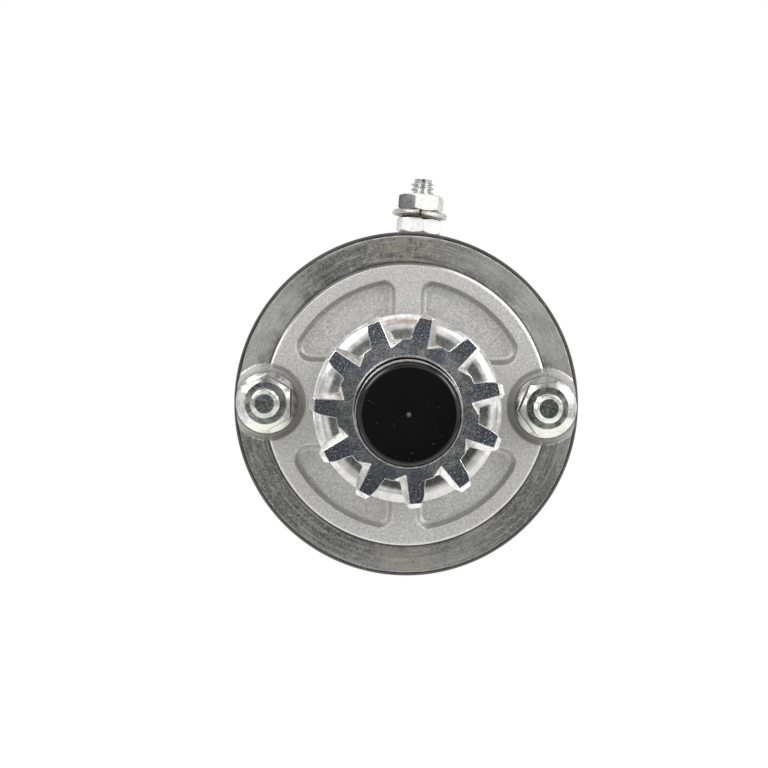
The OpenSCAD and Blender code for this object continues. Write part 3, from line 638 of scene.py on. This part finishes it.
def ring_tone(n, radius, angle, scuff):
    """Colour of the machined ring: turning marks, grit, scratches, stains, a dark band at the foot
    of the pilot and a bright outer line, a painted highlight that is broken up unevenly and is
    strongest towards the upper right. Its brighter arcs, each a clock angle, a reach in degrees
    and a strength, are painted as the photograph's light shows them."""
    bright = 0.0
    for clock, reach, strength in ((28, 62, 0.95), (156, 34, 0.95), (279, 35, 0.45)):
        arc = n.ramp(n.towards(angle, clock), math.cos(math.radians(reach)), 1.0, 0, strength)
        bright = n.plus(bright, arc)
    tone = n.mix(bright, (0.255, 0.257, 0.253), (0.76, 0.766, 0.758))
    dull = n.times(n.ramp(n.noise(95, 4, 0.7), 0.42, 0.62),
                   n.ramp(radius, RING_START, RING_END - 0.0013, 0.95, 0.25), 0.85)
    tone = n.mix(dull, tone, (0.12, 0.118, 0.105))
    tone = n.mix(n.ramp(n.noise(300, 5, 0.8), 0.5, 0.62, 0, 0.55), tone, (0.58, 0.575, 0.54))
    tone = n.mix(n.ramp(scuff, 0.4, 0.6, 0, 0.5), tone, (0.12, 0.12, 0.122))

    busy = n.math("MULTIPLY_ADD", bright, -0.75, 1.0)
    grit = n.noise(1700, 4, 0.85)
    streaks = n.noise(1, 4, 0.7, vector=n.polar(1500, 2.2))
    for texture, end, strength, mark in (
            (grit, 0.62, 0.4, (0.85, 0.85, 0.83)), (grit, 0.38, 0.4, (0.07, 0.07, 0.065)),
            (streaks, 0.62, 0.45, (0.62, 0.62, 0.60)), (streaks, 0.40, 0.4, (0.10, 0.10, 0.10))):
        tone = n.mix(n.times(n.ramp(texture, 0.5, end, 0, strength), busy), tone, mark)
    for tilt in (0.6, -0.9, 2.2):
        lines = n.noise(1, 2, 0.6, vector=n.stretched((3800, 500, 190), tilt))
        tone = n.mix(n.ramp(lines, 0.62, 0.72, 0, 0.45), tone, (0.75, 0.75, 0.75))
    stain = n.times(n.ramp(n.math("ABSOLUTE", n.math("SINE", angle)), 0.965, 1.0, 0, 0.55),
                    n.ramp(n.noise(420, 3, 0.7), 0.38, 0.58))
    tone = n.mix(stain, tone, (0.50, 0.48, 0.38))

    # A dark band on the ring at the foot of the pilot.
    pilot_foot_band = n.band(radius, RING_START, RING_START + 0.0001, RING_START + 0.0003,
                    RING_START + 0.0006)
    tone = n.mix(n.times(pilot_foot_band, 0.7), tone, (0.03, 0.03, 0.03))
    # Bright line along the outer edge: a painted highlight, broken up unevenly and strongest
    # towards the upper right.
    wear_and_highlight = n.times(n.ramp(n.noise(1, 3, 0.7, vector=n.polar(0, 14.0)), 0.35, 0.6),
                   n.ramp(n.towards(angle, 50), -0.2, 0.8, 0.35, 0.95))
    outer_line = n.band(radius, RING_END - 0.0003, RING_END - 0.00022, RING_END - 0.0001,
                        RING_END - 0.00002)
    return n.mix(n.times(outer_line, wear_and_highlight), tone, (1.0, 1.0, 0.98))


def rim_paint(n, radius, y):
    """(mask of the paint, its colour, mask of the chips in it) for the black paint that covers
    the casting's outside and reaches over the ring's edge in an uneven line."""
    uneven = n.math("SUBTRACT", n.noise(1, 4, 0.7, vector=n.polar(0, 7.0)), 0.5)
    over_edge = n.ramp(n.plus(radius, n.times(uneven, 0.0007)), RING_END - 0.00008,
                       RING_END + 0.00002)
    over_edge = n.times(over_edge, n.ramp(y, -0.0002, -0.0001))
    painted = n.math("MAXIMUM", over_edge, n.ramp(y, 0.0001, 0.0002))
    # The paint over the ring's edge is darkest; round the outer edge it is lighter and browner,
    # partly dust and partly a painted sheen; further back it is plain black.
    outside = n.ramp(radius, RING_END + 0.0002, RING_END + 0.0006)
    tone = n.mix(outside, (0.008, 0.008, 0.008), (0.06, 0.055, 0.05))
    tone = n.mix(n.ramp(y, 0.0012, 0.004), tone, (0.013, 0.013, 0.0135))
    near_edge = n.band(radius, RING_END - 0.0007, RING_END - 0.0001, RING_END + 0.0003,
                       RING_END + 0.0007)
    chips = n.times(n.ramp(n.noise(1100, 3, 0.8), 0.69, 0.72), near_edge,
                    n.ramp(y, 0.0008, 0.0005))
    return painted, tone, chips


def cap_metal():
    """Drive end cap: pebbled casting, machined ring and chipped black paint on its outside."""
    n = Finish("cap_metal")
    radius, angle, y = n.axis_parts()
    pebble = n.noise(2300, 4, 0.75)
    rings = n.noise(1, 4, 0.75, vector=n.polar(5200, 3.0))
    scuff = n.noise(1, 4, 0.75, vector=n.polar(3200, 9.0))
    on_ring = n.times(n.ramp(radius, RING_START + 0.00002, RING_START + 0.00012),
                      n.ramp(y, -0.00012, -0.00006))
    metal = n.mix(on_ring, cast_tone(n, radius, angle, y, pebble),
                  ring_tone(n, radius, angle, scuff))
    painted, paint, chips = rim_paint(n, radius, y)
    tone = n.mix(chips, n.mix(painted, metal, paint), (0.85, 0.85, 0.83))

    roughness = n.plus(n.ramp(pebble, 0.3, 0.7, 0.5, 0.66), n.times(on_ring, -0.22))
    roughness = n.plus(roughness, n.times(on_ring, n.ramp(scuff, 0.3, 0.7, -0.1, 0.12)))
    roughness = n.plus(roughness, n.times(painted, -0.1))
    metallic = n.times(n.inverse(painted), n.math("SUBTRACT", 0.92, n.times(on_ring, 0.17)))
    height = n.plus(n.times(pebble, n.inverse(on_ring)), n.times(rings, on_ring, 0.12))
    return n.finish(tone, roughness, metallic, n.bump(height, 0.55, 0.00013))


def gloss_black():
    """Moulded glossy plastic with hairline scratches, dust specks and a pale gate mark."""
    n = Finish("gloss_black")
    hair = n.noise(1, 3, 0.9, vector=n.stretched((400, 4000, 3000)))
    dust = n.ramp(n.noise(1, 2, 0.5, vector=n.stretched((1300, 1300, 2100))), 0.705, 0.77)
    tone = n.mix(n.times(dust, 0.22), (0.0035, 0.0035, 0.0035), (0.25, 0.25, 0.24))
    radius, _, _ = n.axis_parts()
    tone = n.mix(n.ramp(radius, 0.0002, 0.0006, 0.8, 0.0), tone, (0.16, 0.16, 0.155))
    roughness = n.plus(n.ramp(hair, 0.45, 0.8, 0.09, 0.22), n.times(dust, 0.3))
    return n.finish(tone, roughness, 0.0, n.bump(n.noise(260, 2), 0.06, 0.0002))


def copper():
    """Varnished copper with fine strands."""
    n = Finish("copper")
    strands = n.noise(1, 4, 0.7, vector=n.polar(2500, 30, 60))
    tone = n.mix(n.ramp(strands, 0.3, 0.7), (0.42, 0.15, 0.06), (0.78, 0.36, 0.18))
    roughness = n.ramp(strands, 0.3, 0.7, 0.22, 0.42)
    return n.finish(tone, roughness, 1.0, n.bump(strands, 0.5, 0.0002), Coat_Weight=0.4)


MATERIALS = {
    "cap": cap_metal(),
    "paint": black_paint(),
    "nut_zinc": zinc("nut_zinc", (0.50, 0.51, 0.51), (0.84, 0.84, 0.83), 0.2, 2600, 0.2),
    "flange_nut": flange_nut_zinc(),
    # Darker zinc for the flange nuts' crease: painted shade.
    "crease": zinc("nut_crease_shade", (0.32, 0.32, 0.30), (0.54, 0.53, 0.50), 0.4, 2600, 0.2),
    "gear_zinc": pinion_zinc(),
    "cover_zinc": cover_zinc(),
    "cup_zinc": cup_zinc(),
    "terminal_zinc": zinc("terminal_zinc", (0.93, 0.93, 0.925), (0.97, 0.97, 0.965), 0.4, 900,
                          0.01, (0.86, 0.86, 0.82)),
    # These two are the terminal zinc in darker tones: painted shade on the terminal nuts' side
    # facets and on the upper nut's front left facet.
    "side_facet_shade_zinc": zinc("side_facet_shade_zinc", (0.50, 0.50, 0.48), (0.66, 0.66, 0.63), 0.3, 1200, 0.04),
    "dark_facet_shade_zinc": zinc("dark_facet_shade_zinc", (0.15, 0.15, 0.155), (0.42, 0.42, 0.43), 0.35, 1200, 0.2),
    "washer_zinc": zinc("washer_zinc", (0.46, 0.45, 0.41), (0.82, 0.81, 0.76), 0.34, 1500, 0.1),
    "stud_zinc": zinc("stud_zinc", (0.40, 0.43, 0.42), (0.78, 0.80, 0.77), 0.2, 1500, 0.15),
    "gloss_black": gloss_black(),
    "steel": turned_steel("turned_steel", (0.4, 0.4, 0.41), (0.62, 0.62, 0.62), 0.28),
    "spring": turned_steel("spring_steel", (0.22, 0.22, 0.24), (0.5, 0.5, 0.52), 0.3),
    "bronze": grained("bronze", (0.42, 0.27, 0.13), (0.68, 0.48, 0.27), 0.42, 1.0, 2600, 0.4),
    "brass": grained("brass", (0.62, 0.45, 0.17), (0.82, 0.64, 0.32), 0.3, 1.0, 1400, 0.15),
    "copper": copper(),
    "ferrite": grained("ferrite", (0.028, 0.028, 0.031), (0.07, 0.07, 0.075), 0.6, 0.0, 2200, 0.35),
    "carbon": grained("carbon", (0.03, 0.029, 0.028), (0.09, 0.08, 0.07), 0.5, 0.3, 2500, 0.4),
    "washer_fibre": grained("washer_fibre", (0.22, 0.21, 0.16), (0.46, 0.44, 0.34), 0.7, 0.0,
                            1700, 0.5),
    "fibre": grained("fibre", (0.36, 0.26, 0.14), (0.62, 0.5, 0.33), 0.7, 0.0, 1700, 0.5),
    "phenolic": grained("phenolic", (0.09, 0.03, 0.018), (0.2, 0.08, 0.045), 0.45, 0.0, 1200, 0.2),
    "rubber": grained("rubber", (0.012, 0.012, 0.012), (0.03, 0.03, 0.03), 0.7, 0.0, 1600, 0.3),
}

CAD_FINISH = {
    "case_tube": "paint", "rear_end_cap": "paint", "rear_gasket": "rubber",
    "front_bushing": "bronze", "rear_bushing": "bronze", "field_magnets": "ferrite",
    "magnet_springs": "spring", "terminal_bush": "fibre", "terminal_inner_insulator": "fibre",
    "brush_plate": "phenolic", "brush_holders": "brass", "brushes": "carbon",
    "brush_springs": "spring", "brush_leads": "copper", "thrust_washers": "bronze",
    "armature_shaft": "steel", "armature_core": "steel", "armature_windings": "copper",
    "slot_insulators": "fibre", "commutator_hub": "phenolic", "commutator_bars": "copper",
    "spring_seat_washer": "nut_zinc", "spring_retainer": "nut_zinc", "retaining_ring": "spring",
    "screw_sleeve": "steel", "clutch_cage": "brass", "clutch_rollers": "steel",
    "clutch_springs": "spring", "clutch_shell": "steel", "pinion_gear": "gear_zinc",
    "pinion_bushing": "bronze",
}


def dress_cad_nodes():
    """Gives the CAD nodes that stay their finishes, and eases the edges of two of them."""
    eased = {"pinion_gear": 0.2, "rear_end_cap": 0.3}
    for name, finish in CAD_FINISH.items():
        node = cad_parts[name]
        node.data.materials.clear()
        node.data.materials.append(MATERIALS[finish])
        if name in eased:
            weld = node.modifiers.new("weld", "WELD")
            weld.merge_threshold = 1e-6
            add_bevel(node, eased[name])


# ---------------------------------------------------------------- drive end cap

def ease(t):
    """Smooth step from 0 to 1."""
    t = np.clip(t, 0, 1)
    return t * t * (3 - 2 * t)


def rounded_corner(one, other, dot, corner):
    """Distance to two walls' shared corner rounded by a radius; dot is that of their normals."""
    a, b = one + corner, other + corner
    at_corner = (a > b * dot) & (b > a * dot) & ((a > 0) | (b > 0))
    across = np.maximum(a * a + b * b - 2 * a * b * dot, 0)
    to_corner = np.sqrt(across / np.maximum(1 - dot * dot, 1e-9))
    return np.where(at_corner, to_corner - corner, np.maximum(one, other))


def pocket_distance(x, y):
    """Signed distance to the nearest quarter pocket's outline, negative inside it."""
    radius = np.hypot(x, y)
    across, up = np.abs(x) / radius, np.abs(y) / radius
    arc, hub = radius - POCKET_R, POCKET_HUB_R - radius
    rib, web = RIB_HALF - np.abs(x), WEB_HALF - np.abs(y)
    return np.max([rounded_corner(arc, web, -up, WEB_CORNER),
                   rounded_corner(arc, rib, -across, RIB_CORNER),
                   rounded_corner(hub, web, up, HUB_CORNER),
                   rounded_corner(hub, rib, across, HUB_CORNER)], axis=0)


def pocket_drop(distance):
    """Depth below the pilot: a rounded lip and a drafted wall with a wide fillet at its foot."""
    lip, wall = 0.3, 1.6
    inside = np.maximum(-distance, 0)
    inside = np.where(inside < lip, inside ** 2 / (2 * lip), inside - lip / 2)
    return POCKET_DEPTH * (1 - (1 - np.minimum(inside / wall, 1)) ** 3)


def cap_height(x, y):
    """Height of the cap's front face above the machined ring: the pilot with its turned land
    and pockets, and the two bosses blended into it."""
    land_width, land_drop, blend = 0.75, 0.35, 0.5
    radius = np.hypot(x, y)
    pilot = ease((PILOT_R + 0.05 - radius) / 0.3)
    height = PILOT_H * pilot
    height -= land_drop * ease((radius - PILOT_R + land_width) / 0.5) * pilot
    height -= pocket_drop(pocket_distance(x, y))
    for side in (-1, 1):
        from_bolt = np.hypot(x - side * BOLT_X, y)
        cone = (BOSS_BASE_R - from_bolt) / (BOSS_BASE_R - BOSS_TOP_R) * BOSS_TOP
        boss = np.minimum(cone, BOSS_TOP)
        mixed = np.clip(0.5 + 0.5 * (boss - height) / blend, 0, 1)
        height = height * (1 - mixed) + boss * mixed + blend * mixed * (1 - mixed) * 0.5
        height = np.where(from_bolt < BOSS_TOP_R - 0.2, BOSS_TOP, height)
    return np.maximum(height, 0)


def build_drive_end_cap():
    """Front face as a height field, with finer rings at the pilot's edge, on a turned back."""
    segments, coarse, fine = 660, 0.26, 0.07
    radii = np.concatenate([np.arange(BUSH_R, PILOT_R - 0.8, coarse),
                            np.arange(PILOT_R - 0.8, PILOT_R + 0.3, fine),
                            np.arange(PILOT_R + 0.35, RING_R, coarse), [RING_R]])
    side_r = CASE_R - 0.005
    back = rounded([(RING_R, 0, 0.15), (side_r, -0.8, 0.3), (side_r, TUBE_FRONT, 0.2),
                    (BORE_R, TUBE_FRONT)], 4)[1:]
    back += [(BORE_R, CAP_BACK), (SPIGOT_R, CAP_BACK), (SPIGOT_R, TUBE_FRONT),
             (HOLLOW_R, TUBE_FRONT), (HOLLOW_R, HOLLOW_FRONT), (HUB_R, HOLLOW_FRONT),
             (HUB_R, HUB_BACK), (BUSH_R, HUB_BACK)]
    columns = []
    for i in range(segments):
        c, s = math.cos(TAU * i / segments), math.sin(TAU * i / segments)
        x, y = c * radii, s * radii
        column = list(zip(x, y, cap_height(x, y)))
        column += [(r * c, r * s, h) for r, h in back]
        columns.append(column)
    add_piece("drive_end_cap_casting", ring_grid(columns), "cap", "housing",
              replaces="drive_end_cap", sharp=50)


# ---------------------------------------------------------------- bolts, nuts and terminal

def build_through_bolts():
    """Two long bolts with threaded ends, and their hexagon heads with a small centre hole."""
    shank = threaded_rod(REAR_FACE, BOLT_TIP, tip_r=2.1, chamfer=1.0, plain_to=NUT_TOP - 4,
                         shank_r=BOLT_SHANK_R)
    add_piece("through_bolt_shanks", at_bolts(shank, shank), "stud_zinc", "housing",
              replaces="through_bolts", sharp=40)
    seat = BOLT_BACK + BOLT_HEAD_H
    head = mirrored_z(hex_nut(seat, seat + BOLT_HEAD_H, turn=0.2, flat_r=4.9, bore=0.4), seat)
    add_piece("through_bolt_heads", at_bolts(head, head), "nut_zinc", "housing",
              sharp=30, bevel=0.15)


def build_flange_nuts():
    """Two flange nuts; the crease where the hexagon meets the flange gets a darker zinc, a painted
    shade.
    """
    left, right = (hex_nut(BOSS_TOP, NUT_TOP, turn, flat_r=4.6, af=FLANGE_NUT_AF,
                           flange=(NUT_FLANGE_R, FLANGE_EDGE, FLANGE_TOP))
                   for turn in (0, math.radians(38)))
    nuts = add_piece("flange_nut_pair", at_bolts(left, right), "flange_nut", "housing",
                     replaces="flange_nuts", sharp=24, bevel=0.1)
    # The faces round the crease take the darker zinc: painted shade.
    nuts.data.materials.append(MATERIALS["crease"])
    for face in nuts.data.polygons:
        height = -face.center.y / MM - BOSS_TOP
        face.material_index = int(FLANGE_TOP - 0.13 < height < FLANGE_TOP + 0.3)


def lock_washer(middle):
    """Split spring washer with a thick round edge, its ends a little apart in height."""
    inner, edge_r, half = THREAD_R + 0.25, 0.85, 0.62
    gap, rise, steps = math.radians(5), 0.3, 120
    open_angle = math.pi - math.asin(half / edge_r)
    outline = [(inner + 0.15, half), (inner, half - 0.15), (inner, 0.15 - half),
               (inner + 0.15, -half)]
    for k in range(17):
        a = open_angle * (k / 8 - 1)
        outline.append((LOCK_WASHER_R - edge_r + edge_r * math.cos(a), edge_r * math.sin(a)))
    sections = []
    for i in range(steps + 1):
        share = i / steps
        angle = gap / 2 + (TAU - gap) * share
        c, s = math.cos(angle), math.sin(angle)
        sections.append([(r * c, r * s, middle + (share - 0.5) * rise + h) for r, h in outline])
    return swept(sections)


def build_terminal():
    """Stud, two nuts, spring washer and insulating washer, all on the terminal's axis."""
    stud = threaded_rod(TERMINAL_FOOT, TERMINAL_TIP, tip_r=2.4, chamfer=0.3,
                        plain_to=UPPER_NUT[1] - 2, dog=0.85)
    add_piece("terminal_stud_thread", stud, "stud_zinc", "housing",
              replaces="terminal_stud", sharp=40, to_frame=on_terminal)
    build_terminal_nut("lower", LOWER_NUT, -18)
    build_terminal_nut("upper", UPPER_NUT, 15)
    washer = lock_washer((LOWER_NUT[1] + UPPER_NUT[0]) / 2)
    add_piece("terminal_spring_washer", washer, "washer_zinc", "housing",
              replaces="terminal_lock_washer", sharp=50, to_frame=on_terminal)
    inner = THREAD_R + 0.1
    washer = rounded([(inner, TERMINAL_BUSH_TOP), (5.9, TERMINAL_BUSH_TOP),
                      (5.9, LOWER_NUT[0], 0.5), (inner, LOWER_NUT[0])], 4)
    add_piece("terminal_fibre_washer", revolve(washer, 96), "washer_fibre", "housing",
              replaces="terminal_washer", to_frame=on_terminal)


def build_terminal_nut(level, heights, turn):
    """One of the two nuts on the stud, turned by so many degrees. Its left and right facets are
    painted greyer, and the upper nut's front left one darker, as the photograph's light shows
    them."""
    nut = add_piece(f"terminal_nut_{level}", hex_nut(*heights, math.radians(turn), flat_r=4.9),
                    "terminal_zinc", "housing", replaces=f"terminal_{level}_nut",
                    sharp=24, bevel=0.12, to_frame=on_terminal)
    nut.data.materials.append(MATERIALS["side_facet_shade_zinc"])
    nut.data.materials.append(MATERIALS["dark_facet_shade_zinc"])
    for face in nut.data.polygons:
        normal = face.normal
        if abs(normal.x) > 0.8:
            face.material_index = 1
        elif level == "upper" and normal.x < -0.4 and normal.y < 0:
            face.material_index = 2


# ---------------------------------------------------------------- drive

def build_clutch_cover():
    """Pressed cover with a rounded shoulder and a crimped back edge."""
    wall, shoulder_r, shoulder_h = 1.0, 3.8, 2.6
    outer, inner = [], CLUTCH_R - wall
    for k in range(25):
        a = math.pi / 2 * (1 - k / 24)
        outer.append((CLUTCH_R - shoulder_r + shoulder_r * math.cos(a),
                      CLUTCH_FRONT - shoulder_h + shoulder_h * math.sin(a)))
    outline = [(CLUTCH_BORE_R, CLUTCH_FRONT, 0.3)] + outer + [
        (CLUTCH_R, CLUTCH_BACK + 1.3, 0.9), (CLUTCH_R - 1.25, CLUTCH_BACK, 0.3),
        (CLUTCH_R - 1.9, CLUTCH_BACK + 0.05), (inner, CLUTCH_BACK + 1.6),
        (inner, CLUTCH_FRONT - shoulder_h), (CLUTCH_R - shoulder_h, CLUTCH_FRONT - wall),
        (CLUTCH_BORE_R, CLUTCH_FRONT - wall)]
    add_piece("clutch_cover_pressing", revolve(rounded(outline, 12), 256), "cover_zinc", "clutch",
              replaces="clutch_cover", sharp=35)


def build_spring_cup():
    """Thin sleeve round the return spring."""
    inner = CUP_R - CUP_WALL
    outline = [(inner, CUP_BACK), (CUP_R, CUP_BACK), (CUP_R, CUP_FRONT, 0.15),
               (inner, CUP_FRONT, 0.15)]
    add_piece("spring_cup_sleeve", revolve(rounded(outline, 4), 192), "cup_zinc", "armature",
              replaces="spring_cup")


def build_dust_cap():
    """Moulded cap with a rounded shoulder and the mark of its gate in the middle."""
    outer, rim_back, recess_r, recess = CUP_R - CUP_WALL, 53, 8.4, DUST_CAP_FACE - 1.6
    outline = [(0, recess), (recess_r, recess, 0.5), (recess_r, rim_back), (outer, rim_back),
               (outer, DUST_CAP_FACE - 0.02, 1.1)]
    for r, depth, corner in ((0.55, 0.1, 0.05), (0.45, 0.2, 0.05), (0.28, 0.2, 0.04),
                             (0.2, 0, 0.04), (0, 0, 0)):
        outline.append((r, DUST_CAP_FACE - depth, corner))
    add_piece("dust_cap_moulding", revolve(rounded(outline, 8), 192), "gloss_black", "armature",
              replaces="dust_cap", sharp=40)


def build_return_spring():
    """Compression spring, wound closer at its two ends, with a mesh of its own."""
    front, back = node_span("return_spring")
    wire, radius, turns, steps, sides = 0.7, 7.3, 7, 48, 14
    reach = front - back - 2 * wire
    count = turns * steps
    sections = []
    for i in range(count + 1):
        share = i / count
        height = back + wire + reach * (share * share * (3 - 2 * share) * 0.35 + share * 0.65)
        c, s = math.cos(TAU * i / steps), math.sin(TAU * i / steps)
        section = []
        for k in range(sides):
            r = radius + wire * math.cos(TAU * k / sides)
            section.append((r * c, r * s, height + wire * math.sin(TAU * k / sides)))
        sections.append(section)
    spring = add_piece("return_spring_coil", swept(sections), "spring", "armature",
                       replaces="return_spring", sharp=60)
    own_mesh(spring)


# ---------------------------------------------------------------- stage

def build_world():
    """White light all round with a soft cloudy variation, a dark zone in front of the drive end
    and a faint warm patch above that. The camera itself sees plain white."""
    world = bpy.data.worlds.new("studio")
    bpy.context.scene.world = world
    world.use_nodes = True
    n = Nodes(world.node_tree, "Generated")
    in_front = n.dot(n.where, tuple(Vector((0.085, -1, -0.07)).normalized()))
    above = n.dot(n.where, tuple(Vector((0, -0.5, 0.87)).normalized()))
    clouds = n.ramp(n.noise(3.4, 2, 0.5), 0.4, 0.6, 0.4, 1.25, "LINEAR")
    light = n.times(n.ramp(in_front, 0.90, 0.982, 1.0, 0.07), clouds)
    light = n.mix(n.ramp(above, 0.93, 0.98), light, (1.0, 0.80, 0.70), "MULTIPLY")
    seen = n.add("ShaderNodeLightPath").outputs["Is Camera Ray"]
    n.link(n.mix(seen, light, (1, 1, 1)), n.tree.nodes["Background"].inputs["Color"])


def build_floor():
    """Plain pale floor below the motor."""
    half, front, back, height = 0.4, -0.16, 0.42, -0.16
    mesh = bpy.data.meshes.new("floor")
    mesh.from_pydata([(-half, front, height), (half, front, height), (half, back, height),
                      (-half, back, height)], [], [(0, 1, 2, 3)])
    mesh.materials.append(Finish("floor_white").finish(
        (0.95, 0.95, 0.95), 0.9, 0.0, Emission_Color=(1, 1, 1), Emission_Strength=0.12))
    floor = bpy.data.objects.new("floor", mesh)
    bpy.context.scene.collection.objects.link(floor)


def add_softbox(name, position):
    """Square area light that looks at the motor."""
    data = bpy.data.lights.new(name, "AREA")
    data.size = 0.7
    data.energy = 9
    lamp = bpy.data.objects.new(name, data)
    lamp.location = position
    lamp.rotation_euler = (-Vector(position)).to_track_quat("-Z", "Y").to_euler()
    bpy.context.scene.collection.objects.link(lamp)


def build_camera():
    """Looks along the shaft from the drive end, from a little above and to the left."""
    data = bpy.data.cameras.new("camera")
    data.sensor_width = 36.0
    data.lens = 93.3
    data.clip_start = 0.01
    camera = bpy.data.objects.new("camera", data)
    bpy.context.scene.collection.objects.link(camera)
    camera.location = (-0.0043, -0.440, 0.0153)
    tilt, pan, roll = math.radians(90 - 1.42), math.radians(0.087), math.radians(1.0)
    turn = Matrix.Rotation(pan, 3, "Z") @ Matrix.Rotation(tilt, 3, "X")
    turn = turn @ Matrix.Rotation(roll, 3, "Z")
    camera.rotation_euler = turn.to_euler()
    bpy.context.scene.camera = camera


dress_cad_nodes()
build_drive_end_cap()
build_through_bolts()
build_flange_nuts()
build_terminal()
build_clutch_cover()
build_spring_cup()
build_dust_cap()
build_return_spring()

build_world()
build_floor()
add_softbox("key_left", (-0.9, -0.75, 0.9))
add_softbox("key_right", (1.0, -0.7, 0.7))
build_camera()
bpy.context.scene.view_settings.view_transform = "Standard"
